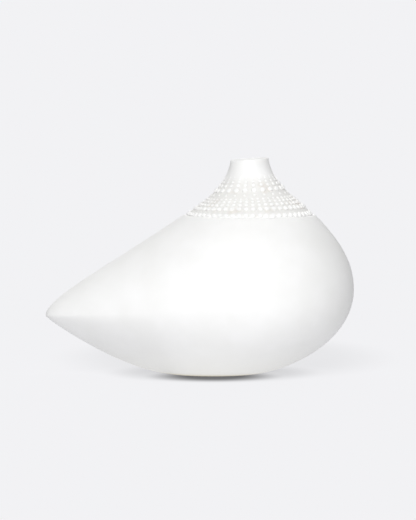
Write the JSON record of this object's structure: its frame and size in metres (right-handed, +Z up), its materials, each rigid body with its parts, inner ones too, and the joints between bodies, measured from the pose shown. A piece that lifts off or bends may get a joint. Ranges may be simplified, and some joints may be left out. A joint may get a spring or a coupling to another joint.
{
  "type": "bud vase",
  "caption": "Free-standing teardrop bud vase of matte white porcelain: round bulb drawn out to a pointed tail, beaded trumpet neck with a small mouth, glazed water cavity.",
  "frame": {"origin": "on the standing plane, under the middle of the overall length, in the plane of symmetry", "axes": "+X from the tail to the round bulb, +Z up through the neck, XZ is the plane of symmetry"},
  "size_m": [0.193, 0.1248, 0.1352],
  "materials": {
    "body_bisque": "matte unglazed white porcelain, fine tooth",
    "neck_bisque": "matte unglazed white porcelain, faint warm tint between the beads",
    "bead_slip": "matte white porcelain slip, rounded beads",
    "clear_glaze": "glossy clear glaze on white porcelain"
  },
  "bodies": {
    "root": {"vase_body": "body_bisque", "neck_collar": "neck_bisque", "bead_row_01": "bead_slip", "bead_row_02": "bead_slip", "bead_row_03": "bead_slip", "bead_row_04": "bead_slip", "bead_row_05": "bead_slip", "bead_row_06": "bead_slip", "bead_row_07": "bead_slip", "bead_row_08": "bead_slip", "bead_row_09": "bead_slip", "bead_row_10": "bead_slip", "bead_row_11": "bead_slip", "inside_glaze": "clear_glaze"}
  },
  "joints": []
}
